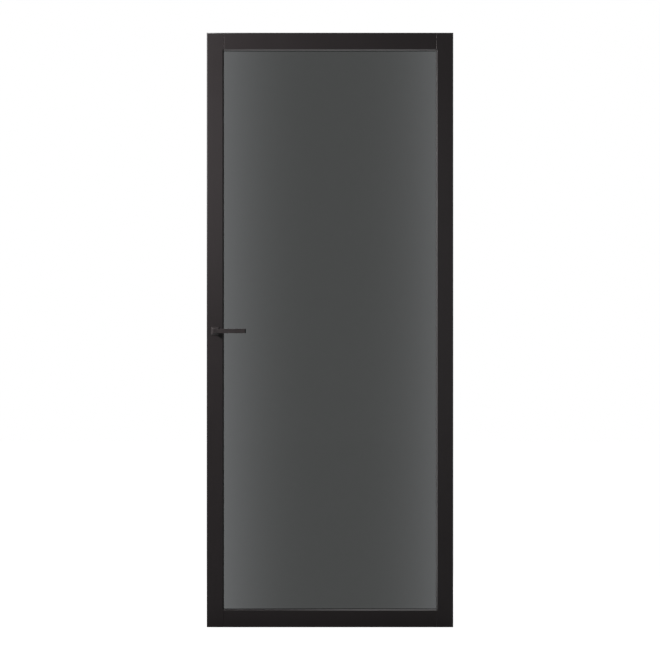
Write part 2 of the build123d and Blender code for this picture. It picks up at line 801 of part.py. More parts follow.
with BuildPart() as rose_screws:
    rose_screw = countersunk_screw(rose_screw_head_radius, rose_screw_radius, rose_screw_length)
    for side in (-1, 1):
        y_head = -side * y_rose_base
        with Locations(*[Plane(origin=(x, y_head, z), z_dir=(0, side, 0)) for x, z in rose_screw_places]):
            add(rose_screw)
hand_over(rose_screws, "rose_screws")


def hinge_wing(x_plate, hole_face, hole_way, z_hinge, knuckles):
    """Plate with countersunk holes and its share of the knuckles, one side of a butt hinge."""
    with BuildPart() as wing:
        with BuildSketch(Plane.YZ.offset(x_plate)) as plate:
            with Locations((y_rear - wing_reach / 2, z_hinge)):
                Rectangle(wing_reach, hinge_height)
            fillet(plate.vertices().group_by(Axis.X)[0], radius=wing_corner)
        extrude(amount=wing_thickness)
        for knuckle in knuckles:
            z_knuckle = z_hinge - hinge_height / 2 + knuckle * (knuckle_length + knuckle_gap)
            with BuildSketch(Plane.XY.offset(z_knuckle)):
                with Locations((hinge_x, hinge_y)):
                    Circle(barrel_radius)
                span(x_plate, x_plate + wing_thickness, y_rear - wing_thickness, hinge_y)
            extrude(amount=knuckle_length)
        with Locations((hinge_x, hinge_y, z_hinge)):
            Cylinder(pin_radius + running_clearance, hinge_height + overrun, mode=Mode.SUBTRACT)
        for row in (-1, 1):
            for column in (-1, 1):
                y_hole = wing_hole_y + row * wing_hole_rows / 2
                z_hole = z_hinge + column * wing_hole_columns / 2
                with Locations(Plane(origin=(hole_face, y_hole, z_hole), z_dir=hole_way)):
                    CounterSinkHole(wing_hole_radius, wing_sink_radius, counter_sink_angle=sink_angle)
    return wing


for level, z_hinge in hinge_heights.items():
    leaf_wing = hinge_wing(x_leaf_wing, x_leaf_face, (1, 0, 0), z_hinge, range(1, knuckle_count, 2))
    hand_over(leaf_wing, f"{level}_leaf_wing")
    frame_wing = hinge_wing(x_frame_wing, x_frame_wing, (-1, 0, 0), z_hinge, range(0, knuckle_count, 2))
    hand_over(frame_wing, f"{level}_frame_wing")

    # Pin with a low button head above the barrel
    with BuildPart() as hinge_pin:
        with BuildSketch(Plane.XY.offset(z_hinge - hinge_height / 2)):
            with Locations((hinge_x, hinge_y)):
                Circle(pin_radius)
        extrude(amount=hinge_height)
        with BuildSketch(Plane.XY.offset(z_hinge + hinge_height / 2)):
            with Locations((hinge_x, hinge_y)):
                Circle(pin_head_radius)
        extrude(amount=pin_head_height)
        fillet(hinge_pin.faces().sort_by(Axis.Z)[-1].edges(), radius=pin_head_height / 2)
    hand_over(hinge_pin, f"{level}_hinge_pin")

    with BuildPart() as hinge_washers:
        for knuckle in range(1, knuckle_count):
            z_gap = z_hinge - hinge_height / 2 + knuckle * (knuckle_length + knuckle_gap) - knuckle_gap
            with BuildSketch(Plane.XY.offset(z_gap + washer_room)):
                with Locations((hinge_x, hinge_y)):
                    Circle(barrel_radius)
                    Circle(pin_radius + running_clearance, mode=Mode.SUBTRACT)
            extrude(amount=knuckle_gap - 2 * washer_room)
    hand_over(hinge_washers, f"{level}_hinge_washers")

with BuildPart() as hinge_screws:
    hinge_screw = countersunk_screw(
        wing_sink_radius - screw_clearance, wing_hole_radius - screw_clearance, hinge_screw_length
    )
    with Locations(*[Plane(origin=(x_leaf_face, y, z), z_dir=(1, 0, 0)) for y, z in wing_hole_places]):
        add(hinge_screw)
hand_over(hinge_screws, "hinge_screws")
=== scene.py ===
# %% [markdown]
# # A glass door in warm black
# The object is one leaf of an interior door: slim lacquered timber stiles and rails round a single
# sheet of smoked glass, a square lever on each side, a magnetic latch lock in the edge and three steel
# butt hinges. Its solids come from the CAD frame, in metres, with +Z up and the plain front face looking
# along -Y. This lesson gives every solid its finish, models the small pieces that need softer edges than
# the solids have, and lights the leaf as a studio would.

# %% Load the frame and keep its box
import json
import math

import bpy
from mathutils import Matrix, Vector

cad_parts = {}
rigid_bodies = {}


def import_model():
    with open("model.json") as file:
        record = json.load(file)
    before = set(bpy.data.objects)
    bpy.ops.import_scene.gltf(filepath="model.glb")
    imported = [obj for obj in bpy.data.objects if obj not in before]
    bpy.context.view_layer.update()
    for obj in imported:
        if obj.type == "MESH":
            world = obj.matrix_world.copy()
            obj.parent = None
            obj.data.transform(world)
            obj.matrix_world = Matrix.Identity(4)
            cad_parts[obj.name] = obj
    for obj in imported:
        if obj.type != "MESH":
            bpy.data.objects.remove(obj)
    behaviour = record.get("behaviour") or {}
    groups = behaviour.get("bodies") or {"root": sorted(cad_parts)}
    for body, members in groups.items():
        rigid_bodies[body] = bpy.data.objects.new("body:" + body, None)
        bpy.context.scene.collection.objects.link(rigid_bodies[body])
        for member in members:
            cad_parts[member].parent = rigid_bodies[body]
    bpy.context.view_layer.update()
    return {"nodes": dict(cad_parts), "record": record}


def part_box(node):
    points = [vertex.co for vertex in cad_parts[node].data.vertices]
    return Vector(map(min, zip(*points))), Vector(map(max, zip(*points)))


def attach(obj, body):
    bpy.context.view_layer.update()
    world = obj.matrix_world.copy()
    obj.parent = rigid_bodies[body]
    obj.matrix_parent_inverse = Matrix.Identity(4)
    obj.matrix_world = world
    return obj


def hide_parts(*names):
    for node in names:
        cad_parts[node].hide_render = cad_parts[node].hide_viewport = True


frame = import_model()
nodes = frame["nodes"]

# %% [markdown]
# ## Camera
# The photograph is a straight front view. The lever stands well in front of its rose and still hardly
# shifts against it, so the camera is far away with a long lens. It could be an orthographic camera, but a
# real lens keeps a trace of perspective. The lens follows from the leaf's height in the picture.

# %% Camera
PHOTO_SIZE_PX = 660.0
LEAF_HEIGHT_PX = 594.6
CAMERA_DISTANCE = 12.0
SENSOR_MM = 36.0
FAR_CLIP = 100.0

lock_stile_low, lock_stile_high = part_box("lock_stile")
hinge_stile_low, hinge_stile_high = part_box("hinge_stile")
leaf_front = lock_stile_low.y
leaf_rear = lock_stile_high.y
leaf_height = lock_stile_high.z - lock_stile_low.z
leaf_width = hinge_stile_high.x - lock_stile_low.x
leaf_middle = leaf_height / 2

picture_height = leaf_height * PHOTO_SIZE_PX / LEAF_HEIGHT_PX
camera_place = (0, leaf_front - CAMERA_DISTANCE, leaf_middle)
bpy.ops.object.camera_add(location=camera_place, rotation=(math.pi / 2, 0, 0))
camera = bpy.context.object
camera.data.sensor_width = SENSOR_MM
camera.data.lens = SENSOR_MM * CAMERA_DISTANCE / picture_height
camera.data.clip_end = FAR_CLIP
bpy.context.scene.camera = camera
bpy.context.scene.view_settings.view_transform = "Standard"
print("lens in mm:", round(camera.data.lens, 1))

# %% [markdown]
# ## Node helpers
# Every finish below is a small node tree. One helper adds a node and fills its sockets by name, so that a
# material reads like a list of what it is made of. Two more give the steps that come back most often: one
# step of arithmetic, and a value that runs from low to high.

# %% Node helpers
def add_node(tree, kind, values=None, **settings):
    """A node of that kind, with its settings and the values or links of its sockets."""
    node = tree.nodes.new(kind)
    for name, value in settings.items():
        setattr(node, name, value)
    for socket, value in (values or {}).items():
        if isinstance(value, bpy.types.NodeSocket):
            tree.links.new(value, node.inputs[socket])
        else:
            node.inputs[socket].default_value = value
    return node


def empty_tree(owner):
    """The owner's node tree with nothing in it."""
    owner.use_nodes = True
    owner.node_tree.nodes.clear()
    return owner.node_tree


def reckon(tree, operation, first, second=0.0):
    """One step of arithmetic on values or sockets; gives its output."""
    return add_node(tree, "ShaderNodeMath", {0: first, 1: second}, operation=operation).outputs[0]


def ramp(tree, value, start, end, low, high, **settings):
    """A value that goes from low to high while another goes from start to end; gives its output."""
    values = {"Value": value, "From Min": start, "From Max": end, "To Min": low, "To Max": high}
    return add_node(tree, "ShaderNodeMapRange", values, **settings).outputs["Result"]


print("node helpers ready")

# %% [markdown]
# ## World
# The photograph's background is plain white, while the black lacquer shows that the room in front of the
# leaf is dim. Light Path separates the two: the camera, and rays that pass through the glass, see white,
# and everything else is lit by a soft grey. The edges that face down or to the right are nearly as light as
# the flat faces, so the grey rises steeply towards the ground and gently towards the right. It also rises
# behind the leaf, so that the back, which the photograph doesn't show, isn't lost in the dark.

# %% World
WHITE = (1, 1, 1, 1)
ROOM_GREY = 0.11
GROUND_RISE = 0.35
GROUND_SPAN = (-0.25, -0.7)
RIGHT_RISE = 0.25
RIGHT_SPAN = (0.35, 0.85)
REAR_RISE = 0.3
REAR_SPAN = (0.45, 0.9)

world = bpy.data.worlds.new("studio")
bpy.context.scene.world = world
tree = empty_tree(world)
direction = add_node(tree, "ShaderNodeTexCoord").outputs["Generated"]
parts = add_node(tree, "ShaderNodeSeparateXYZ", {"Vector": direction}).outputs
ground = ramp(tree, parts["Z"], *GROUND_SPAN, 0, GROUND_RISE)
right = ramp(tree, parts["X"], *RIGHT_SPAN, 0, RIGHT_RISE)
rear = ramp(tree, parts["Y"], *REAR_SPAN, ROOM_GREY, ROOM_GREY + REAR_RISE)
grey = reckon(tree, "ADD", reckon(tree, "ADD", ground, right), rear)
rays = add_node(tree, "ShaderNodeLightPath").outputs
seen = reckon(tree, "MAXIMUM", rays["Is Camera Ray"], rays["Is Transmission Ray"])
room = add_node(tree, "ShaderNodeBackground", {"Color": WHITE, "Strength": grey})
backdrop = add_node(tree, "ShaderNodeBackground", {"Color": WHITE, "Strength": 1.0})
mix = add_node(tree, "ShaderNodeMixShader", {0: seen, 1: room.outputs[0], 2: backdrop.outputs[0]})
add_node(tree, "ShaderNodeOutputWorld", {"Surface": mix.outputs[0]})
print("world: grey", ROOM_GREY)

# %% [markdown]
# ## Floor
# The leaf hangs a few millimetres above a pale floor. To the camera the floor is almost pure white, with a
# thin layer of ordinary diffuse on top that keeps the leaf's shadow. The pane doesn't mirror it, because in
# the photograph the glass stays dark down to its lower edge.

# %% Floor
FLOOR_GAP = 0.006
FLOOR_SIZE = 40.0
FLOOR_WHITE = 0.985
FLOOR_GREY = (0.7, 0.7, 0.7, 1)
SHADOW_COAT = (0.16, 0.16, 0.16, 1)

bpy.ops.object.select_all(action="DESELECT")
bpy.ops.mesh.primitive_plane_add(size=FLOOR_SIZE, location=(0, 0, -FLOOR_GAP))
floor = bpy.context.object
floor.name = "floor"
floor.visible_glossy = False
paint = bpy.data.materials.new("pale floor")
tree = empty_tree(paint)
rays = add_node(tree, "ShaderNodeLightPath").outputs
plain = add_node(tree, "ShaderNodeBsdfDiffuse", {"Color": FLOOR_GREY}).outputs[0]
glow = add_node(tree, "ShaderNodeEmission", {"Color": WHITE, "Strength": FLOOR_WHITE}).outputs[0]
coat = add_node(tree, "ShaderNodeBsdfDiffuse", {"Color": SHADOW_COAT}).outputs[0]
bright = add_node(tree, "ShaderNodeAddShader", {0: glow, 1: coat}).outputs[0]
lit = add_node(tree, "ShaderNodeMixShader", {0: rays["Is Camera Ray"], 1: plain, 2: bright}).outputs[0]
mix = add_node(tree, "ShaderNodeMixShader", {0: rays["Is Transmission Ray"], 1: lit, 2: glow})
add_node(tree, "ShaderNodeOutputMaterial", {"Surface": mix.outputs[0]})
floor.data.materials.append(paint)
print("floor", FLOOR_GAP * 1000, "mm below the leaf")

# %% [markdown]
# ## Shade under the leaf
# Right under a door it is dark, and the lowest arris mirrors that dark. Mirror rays don't meet the floor of
# this scene, so a narrow dark patch that only they can see takes its place.

# %% Shade under the leaf
SHADE_DEPTH = 0.3
SHADE_BLACK = (0.02, 0.02, 0.02, 1)

bpy.ops.object.select_all(action="DESELECT")
bpy.ops.mesh.primitive_plane_add(size=1, location=(0, 0, -FLOOR_GAP / 2))
bpy.ops.transform.resize(value=(leaf_width, SHADE_DEPTH, 1))
bpy.ops.object.transform_apply(location=True, rotation=True, scale=True)
shade = bpy.context.object
shade.name = "shade under the leaf"
shade.visible_camera = False
shade.visible_transmission = False
shade.visible_diffuse = False
shade.visible_shadow = False
dark = bpy.data.materials.new("shade")
tree = empty_tree(dark)
black = add_node(tree, "ShaderNodeBsdfDiffuse", {"Color": SHADE_BLACK})
add_node(tree, "ShaderNodeOutputMaterial", {"Surface": black.outputs[0]})
shade.data.materials.append(dark)
print("shade", SHADE_DEPTH, "m deep under the leaf")

# %% [markdown]
# ## Key lamp
# One small warm lamp from the upper left throws the lever's crisp slanting shadow and lights the left stile
# more than the right one. A sun would throw an even crisper shadow, but it would light both stiles alike,
# while a near lamp falls off across the leaf.

# %% Key lamp
def add_lamp(name, place, aim, width, height, power, colour=(1, 1, 1)):
    """A rectangular lamp at a place, turned to a point, unseen by the camera."""
    bpy.ops.object.light_add(type="AREA", location=place)
    lamp = bpy.context.object
    lamp.name = name
    lamp.data.shape = "RECTANGLE"
    lamp.data.size = width
    lamp.data.size_y = height
    lamp.data.energy = power
    lamp.data.color = colour
    way = [a - p for a, p in zip(aim, place)]
    turn = math.atan2(-way[0], way[1])
    tilt = math.atan2(way[2], math.hypot(way[0], way[1]))
    lamp.rotation_euler = (math.pi / 2 + tilt, 0, turn)
    lamp.visible_camera = False
    return lamp


KEY_REACH = 1.9
KEY_SLANT = 0.82
KEY_RISE = 0.56
KEY_SIZE = 0.16
KEY_POWER = 75.0
KEY_COLOUR = (1.0, 0.87, 0.885)

rose_low, rose_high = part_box("front_rose_cap")
lever_axis = ((rose_low.x + rose_high.x) / 2, (rose_low.z + rose_high.z) / 2)
key_place = (
    lever_axis[0] - KEY_SLANT * KEY_REACH,
    leaf_front - KEY_REACH,
    lever_axis[1] + KEY_RISE * KEY_REACH,
)
key_aim = (lever_axis[0], leaf_front, lever_axis[1])
key = add_lamp("key", key_place, key_aim, KEY_SIZE, KEY_SIZE, KEY_POWER, KEY_COLOUR)
print("key at", [round(value, 2) for value in key_place])

# %% [markdown]
# ## Soft boxes
# Two soft boxes, one beside the leaf and one above its left corner, only catch the outer arrises. A third one
# lights the back. Mirror rays don't meet it, because the hinge edge would reflect it and look like bare
# metal. Light linking keeps all of them and the key off the pane, as flags would on a real set, because a
# sheet of glass mirrors each lamp as a hard white patch.

# %% Soft boxes
SIDE_REACH = 1.1
SIDE_LEVEL = 1.95
TOP_REACH = 0.45
TOP_OUTSIDE = 0.15
REAR_REACH = 2.2
REAR_OUTSIDE = 0.9
REAR_DROP = 0.6

side_place = (lock_stile_low.x - SIDE_REACH, 0, SIDE_LEVEL)
side_box = add_lamp("side box", side_place, (0, 0, SIDE_LEVEL), width=0.5, height=1.1, power=8.0)
top_place = (lock_stile_low.x - TOP_OUTSIDE, 0, leaf_height + TOP_REACH)
top_box = add_lamp("top box", top_place, (top_place[0], 0, 0), width=0.2, height=0.4, power=6.0)
rear_place = (hinge_stile_high.x + REAR_OUTSIDE, leaf_rear + REAR_REACH, leaf_height - REAR_DROP)
rear_aim = (0, leaf_rear, leaf_middle)
rear_box = add_lamp("rear box", rear_place, rear_aim, width=1.2, height=1.2, power=60.0)
rear_box.visible_glossy = False
off_pane = bpy.data.collections.new("off the pane")
off_pane.objects.link(nodes["glass_pane"])
off_pane.collection_objects[0].light_linking.link_state = "EXCLUDE"
for lamp in (key, side_box, top_box, rear_box):
    lamp.light_linking.receiver_collection = off_pane
print("three soft boxes, off the pane")

# %% [markdown]
# ## Small lamps for single members
# In the photograph the bevels round the glass are bright on the right and along the rails, and both stiles
# are a little lighter at chest height than at their ends. Those are reflections of a room that isn't there,
# so each of them gets its own weak lamp, linked to one member only.

# %% Small lamps for single members
FAR_FRONT = leaf_front - 1.0
MID_FRONT = leaf_front - 0.3
NEAR_FRONT = leaf_front - 0.13
RAIL_LAMP_DEPTH = 0.26
FILL_WIDTH = 0.3
left_x = (lock_stile_low.x + lock_stile_high.x) / 2
right_x = (hinge_stile_low.x + hinge_stile_high.x) / 2


def add_member_lamp(node, place, aim, width, height, radiance):
    """A lamp of an even radiance that only lights one node."""
    power = radiance * math.pi * width * height
    lamp = add_lamp(f"lamp for {node}", place, aim, width, height, power)
    only = bpy.data.collections.new(f"only {node}")
    only.objects.link(nodes[node])
    lamp.light_linking.receiver_collection = only


place, aim = (-1.6, MID_FRONT, 0.65), (0, MID_FRONT, 0.65)
add_member_lamp("hinge_stile", place, aim, width=0.58, height=2.8, radiance=5.4)
place, aim = (-0.05, NEAR_FRONT, 1.2), (-0.05, NEAR_FRONT, 2.0)
add_member_lamp("top_rail", place, aim, width=1.4, height=RAIL_LAMP_DEPTH, radiance=4.0)
place, aim = (0.4, NEAR_FRONT, 0.9), (0.4, NEAR_FRONT, 0)
add_member_lamp("bottom_rail", place, aim, width=0.9, height=RAIL_LAMP_DEPTH, radiance=4.6)
place, aim = (left_x, FAR_FRONT, 1.65), (left_x, 0, 1.65)
add_member_lamp("lock_stile", place, aim, width=FILL_WIDTH, height=0.7, radiance=0.7)
place, aim = (right_x, FAR_FRONT, 1.22), (right_x, 0, 1.22)
add_member_lamp("hinge_stile", place, aim, width=FILL_WIDTH, height=1.3, radiance=0.26)
print("five lamps for single members")

# %% [markdown]
# ## Graded strips for the pane
# The smoked pane grows lighter towards its sides, as glass does that mirrors pale walls beside the lens. The
# grade could be painted into the glass, but then it would stay the same from every side. So two upright
# strips beside the lens are mirrored in it, each brighter towards its outer side and faded at its ends. They
# are linked to the pane alone, and rays that pass through the glass don't meet them.

# %% Graded strips for the pane
STRIP_REACH = 2.6
STRIP_WIDTH = 0.62
STRIP_HEIGHT = 3.6
STRIP_TINT = (0.97, 0.99, 1.04)
PANE_EDGE_AT_STRIP = 0.4625
CURVE_TOP = 1.2
OUTER_FADE = 0.8
END_FADE = 0.36
MIDDLE_SHARE = 0.5
LEFT_STRIP = {"side": -1, "strength": 1.55, "steepness": 2.7}
RIGHT_STRIP = {"side": 1, "strength": 1.15, "steepness": 3.1}

pane_only = bpy.data.collections.new("pane only")
pane_only.objects.link(nodes["glass_pane"])


def add_strip(side, strength, steepness):
    """An upright lamp on one side of the lens whose light rises towards its outer side."""
    middle = side * STRIP_WIDTH / 2
    place = (middle, leaf_front - STRIP_REACH, leaf_middle)
    aim = (middle, 0, leaf_middle)
    power = math.pi * STRIP_WIDTH * STRIP_HEIGHT
    strip = add_lamp(f"strip {side}", place, aim, STRIP_WIDTH, STRIP_HEIGHT, power, STRIP_TINT)
    strip.light_linking.receiver_collection = pane_only
    strip.visible_transmission = False
    tree = empty_tree(strip.data)
    surface = add_node(tree, "ShaderNodeNewGeometry").outputs["Parametric"]
    across = add_node(tree, "ShaderNodeSeparateXYZ", {"Vector": surface}).outputs
    share = across["X"] if side > 0 else reckon(tree, "SUBTRACT", 1.0, across["X"])
    scaled = reckon(tree, "MULTIPLY", share, STRIP_WIDTH / PANE_EDGE_AT_STRIP)
    curve = reckon(tree, "POWER", reckon(tree, "MINIMUM", scaled, CURVE_TOP), steepness)
    level = reckon(tree, "MULTIPLY", curve, strength)
    outer = ramp(tree, share, 1.0, OUTER_FADE, 0, 1, interpolation_type="SMOOTHSTEP")
    away = reckon(tree, "ABSOLUTE", reckon(tree, "SUBTRACT", across["Y"], MIDDLE_SHARE))
    ends = ramp(tree, away, MIDDLE_SHARE, END_FADE, 0, 1, interpolation_type="SMOOTHSTEP")
    faded = reckon(tree, "MULTIPLY", level, reckon(tree, "MULTIPLY", outer, ends))
    glow = add_node(tree, "ShaderNodeEmission", {"Color": WHITE, "Strength": faded})
    add_node(tree, "ShaderNodeOutputLight", {"Surface": glow.outputs[0]})


add_strip(**LEFT_STRIP)
add_strip(**RIGHT_STRIP)
print("two strips, linked to the pane")

# %% [markdown]
# ## Shared surface effects
# Three effects come back in several finishes. Each could be drawn anew in every material, but as a node
# group it is built once and placed with other values. Long streaks are wood grain on timber and brush lines
# on steel: ordinary noise, squeezed across and stretched along one direction.

# %% Long streaks
def start_group(name, inputs, output):
    """A node group with float and vector inputs and one float output."""
    group = bpy.data.node_groups.new(name, "ShaderNodeTree")
    group.interface.new_socket("Vector", in_out="INPUT", socket_type="NodeSocketVector")
    for label, value in inputs.items():
        socket = group.interface.new_socket(label, in_out="INPUT", socket_type="NodeSocketFloat")
        socket.default_value = value
    group.interface.new_socket(output, in_out="OUTPUT", socket_type="NodeSocketFloat")
    entry = group.nodes.new("NodeGroupInput")
    leave = group.nodes.new("NodeGroupOutput")
    return group, entry, leave


streaks, entry, leave = start_group("long streaks", {"Across": 300.0, "Along": 8.0}, "Streak")
stretch = add_node(
    streaks,
    "ShaderNodeCombineXYZ",
    {"X": entry.outputs["Across"], "Y": entry.outputs["Across"], "Z": entry.outputs["Along"]},
)
drawn = add_node(
    streaks, "ShaderNodeVectorMath", {0: entry.outputs["Vector"], 1: stretch.outputs[0]}, operation="MULTIPLY"
)
lines = add_node(
    streaks, "ShaderNodeTexNoise", {"Vector": drawn.outputs[0], "Scale": 1.0, "Detail": 4.0, "Roughness": 0.6}
)
streaks.links.new(lines.outputs["Fac"], leave.inputs["Streak"])
print("group:", streaks.name)

# %% [markdown]
# ## Ripple and smudge
# Ripple is the orange peel of sprayed lacquer or the fine texture of powder coat, a soft noise with little
# detail. Smudge is the uneven gloss that hands and cloths leave, so it has more detail, is bent a little and
# gets more contrast.

# %% Ripple and smudge
CLOUD_SPAN = (0.35, 0.7)

ripple, entry, leave = start_group("spray ripple", {"Size": 400.0}, "Ripple")
cells = add_node(
    ripple,
    "ShaderNodeTexNoise",
    {"Vector": entry.outputs["Vector"], "Scale": entry.outputs["Size"], "Detail": 1.0, "Roughness": 0.4},
)
ripple.links.new(cells.outputs["Fac"], leave.inputs["Ripple"])

smudge, entry, leave = start_group("handling smudge", {"Size": 9.0}, "Smudge")
clouds = add_node(
    smudge,
    "ShaderNodeTexNoise",
    {"Vector": entry.outputs["Vector"], "Scale": entry.outputs["Size"], "Detail": 5.0, "Distortion": 0.6},
)
contrast = ramp(smudge, clouds.outputs["Fac"], *CLOUD_SPAN, 0, 1)
smudge.links.new(contrast, leave.inputs["Smudge"])
print("groups:", ripple.name, "and", smudge.name)

# %% [markdown]
# ## Material helpers
# A finish is one Principled surface whose colour, gloss and relief change a little from place to place. It
# could be one flat colour, but real coats, metals and rubber never are. Values that are the same all over go
# straight into the shader's sockets, and these helpers join the shared effects to the ones that vary.

# %% Material helpers
def start_finish(name, **plain):
    """A material with a Principled surface, its plain socket values, and object coordinates."""
    finish = bpy.data.materials.new(name)
    tree = empty_tree(finish)
    surface = add_node(tree, "ShaderNodeBsdfPrincipled")
    for socket, value in plain.items():
        surface.inputs[socket.replace("_", " ")].default_value = value
    add_node(tree, "ShaderNodeOutputMaterial", {"Surface": surface.outputs[0]})
    coordinates = add_node(tree, "ShaderNodeTexCoord").outputs["Object"]
    return finish, tree, surface, coordinates


def place_group(tree, group, values):
    """One of the shared effects, placed in a material with its own values; gives its output."""
    return add_node(tree, "ShaderNodeGroup", values, node_tree=group).outputs[0]


# The Mix node keeps one set of sockets for each kind of data; these are the ones for colours.
MIX_LOW = 6
MIX_HIGH = 7
MIX_RESULT = 2


def vary_colour(tree, surface, mask, low, high):
    """Base Color between two colours by a mask."""
    values = {"Factor": mask, MIX_LOW: (*low, 1), MIX_HIGH: (*high, 1)}
    mix = add_node(tree, "ShaderNodeMix", values, data_type="RGBA")
    tree.links.new(mix.outputs[MIX_RESULT], surface.inputs["Base Color"])


def vary_roughness(tree, surface, mask, low, high):
    """Roughness between two values by a mask."""
    tree.links.new(ramp(tree, mask, 0, 1, low, high), surface.inputs["Roughness"])


def emboss(tree, surface, height, strength, depth):
    """Bump from a height, depth in metres."""
    bump = add_node(tree, "ShaderNodeBump", {"Height": height, "Strength": strength, "Distance": depth})
    tree.links.new(bump.outputs["Normal"], surface.inputs["Normal"])


def add_up(tree, first, second, weight):
    """first plus weight times second."""
    total = add_node(tree, "ShaderNodeMath", {0: second, 1: weight, 2: first}, operation="MULTIPLY_ADD")
    return total.outputs[0]


print("material helpers ready")

# %% [markdown]
# ## Black lacquer
# The stiles, rails and beads are timber sprayed in a satin warm black. A real coat keeps a breath of the
# grain under it and a fine orange peel on top, which the key light turns into a soft, slightly uneven
# sheen. The grain runs along the length of each member, so the rails get the same finish turned a quarter.

# %% Black lacquer
QUARTER_TURN = math.pi / 2


def turn_grain(tree, coordinates, turn):
    """Coordinates turned about Y, so that what runs along Z runs another way."""
    return add_node(tree, "ShaderNodeMapping", {"Vector": coordinates, "Rotation": (0, turn, 0)}).outputs[0]


def lacquer(name, turn):
    """Satin black lacquer on timber whose grain runs along Z before the turn about Y."""
    finish, tree, surface, coordinates = start_finish(name, IOR=1.5)
    turned = turn_grain(tree, coordinates, turn)
    grain = place_group(tree, streaks, {"Vector": turned, "Across": 420.0, "Along": 9.0})
    peel = place_group(tree, ripple, {"Vector": coordinates, "Size": 700.0})
    wiped = place_group(tree, smudge, {"Vector": coordinates, "Size": 5.0})
    vary_colour(tree, surface, grain, (0.0105, 0.0092, 0.0096), (0.0125, 0.0112, 0.0115))
    vary_roughness(tree, surface, wiped, 0.41, 0.44)
    relief = add_up(tree, peel, grain, weight=0.4)
    emboss(tree, surface, relief, strength=0.12, depth=0.0001)
    return finish


upright_lacquer = lacquer("black lacquer, upright", 0)
cross_lacquer = lacquer("black lacquer, across", QUARTER_TURN)
print("lacquer made twice, for uprights and cross pieces")

# %% [markdown]
# ## Smoked glass
# The pane is grey float glass, tinted through its whole thickness. Thin panes could be an alpha mix, but a
# refracting sheet also shows the edge of the frame and the far lever as real glass does. The faint bump is
# the roller wave that toughening leaves, so mirrored lights waver a little.

# %% Smoked glass
smoked_glass, tree, surface, coordinates = start_finish(
    "smoked glass", Transmission_Weight=1.0, Roughness=0.0, IOR=1.5, Base_Color=(0.063, 0.0655, 0.0647, 1)
)
wave = place_group(tree, streaks, {"Vector": coordinates, "Across": 2.0, "Along": 7.0})
emboss(tree, surface, wave, strength=0.1, depth=0.0004)
print("smoked glass made")

# %% [markdown]
# ## Black metal
# Levers, roses and the lock's faceplate are powder coated: a very fine even texture, with a little less
# gloss where hands wear it. The same recipe serves both, with other values.

# %% Black metal
def powder_coat(name, low, high, rough_low, rough_high):
    """Fine black powder coat between two colours and two roughness values."""
    finish, tree, surface, coordinates = start_finish(name, IOR=1.5)
    worn = place_group(tree, smudge, {"Vector": coordinates, "Size": 45.0})
    texture = place_group(tree, ripple, {"Vector": coordinates, "Size": 3200.0})
    vary_colour(tree, surface, worn, low, high)
    vary_roughness(tree, surface, worn, rough_low, rough_high)
    emboss(tree, surface, texture, strength=0.25, depth=0.00005)
    return finish


lever_black = powder_coat("lever black", (0.0205, 0.0187, 0.019), (0.0235, 0.0215, 0.0218), 0.38, 0.46)
lock_black = powder_coat("lock black", (0.010, 0.010, 0.0103), (0.014, 0.0138, 0.014), 0.42, 0.52)
print("powder coat made for levers and lock")

# %% [markdown]
# ## Steel
# Hinges are satin stainless, brushed along their length. The parts inside the lock are zinc plated and the
# magnet is nickel plated. All are one brushed metal with its own colour, line spacing and gloss.

# %% Steel
def brushed_metal(name, low, high, rough_low, rough_high, across):
    """Metal with brush lines along Z between two colours and two roughness values."""
    finish, tree, surface, coordinates = start_finish(name, Metallic=1.0)
    brush = place_group(tree, streaks, {"Vector": coordinates, "Across": across, "Along": 30.0})
    vary_colour(tree, surface, brush, low, high)
    vary_roughness(tree, surface, brush, rough_low, rough_high)
    emboss(tree, surface, brush, strength=0.12, depth=0.00005)
    return finish


hinge_steel = brushed_metal("hinge steel", (0.42, 0.42, 0.43), (0.58, 0.58, 0.59), 0.28, 0.42, 2600.0)
zinc_steel = brushed_metal("zinc plated steel", (0.44, 0.44, 0.46), (0.6, 0.6, 0.62), 0.32, 0.5, 1500.0)
magnet_nickel = brushed_metal("nickel", (0.6, 0.58, 0.54), (0.7, 0.68, 0.64), 0.16, 0.24, 900.0)
print("three brushed metals made")

# %% [markdown]
# ## Rubber, nylon and beech
# The seals are matt black rubber and the glazing blocks, bushes and hinge washers are black nylon, both with
# a fine moulded skin. The corner dowels are raw beech, with the grain along the rail.

# %% Rubber, nylon and beech
def moulded(name, low, high, rough_low, rough_high):
    """A matt moulded material between two colours and two roughness values."""
    finish, tree, surface, coordinates = start_finish(name, IOR=1.5)
    skin = place_group(tree, ripple, {"Vector": coordinates, "Size": 1800.0})
    dust = place_group(tree, smudge, {"Vector": coordinates, "Size": 14.0})
    vary_colour(tree, surface, dust, low, high)
    vary_roughness(tree, surface, dust, rough_low, rough_high)
    emboss(tree, surface, skin, strength=0.2, depth=0.00008)
    return finish


seal_rubber = moulded("seal rubber", (0.0042, 0.0042, 0.0043), (0.0075, 0.0073, 0.007), 0.6, 0.75)
nylon = moulded("nylon", (0.008, 0.008, 0.0082), (0.014, 0.014, 0.0138), 0.45, 0.58)

dowel_beech, tree, surface, coordinates = start_finish("dowel beech", IOR=1.45)
along_x = turn_grain(tree, coordinates, QUARTER_TURN)
grain = place_group(tree, streaks, {"Vector": along_x, "Across": 900.0, "Along": 25.0})
vary_colour(tree, surface, grain, (0.42, 0.26, 0.14), (0.58, 0.4, 0.24))
vary_roughness(tree, surface, grain, 0.5, 0.62)
emboss(tree, surface, grain, strength=0.3, depth=0.0001)
print("rubber, nylon and beech made")

# %% [markdown]
# ## Finishes on the solids
# The record names a slot for every node, and each slot has its finish. Only the cross pieces differ: their
# slot is the lacquer too, but with the grain turned.

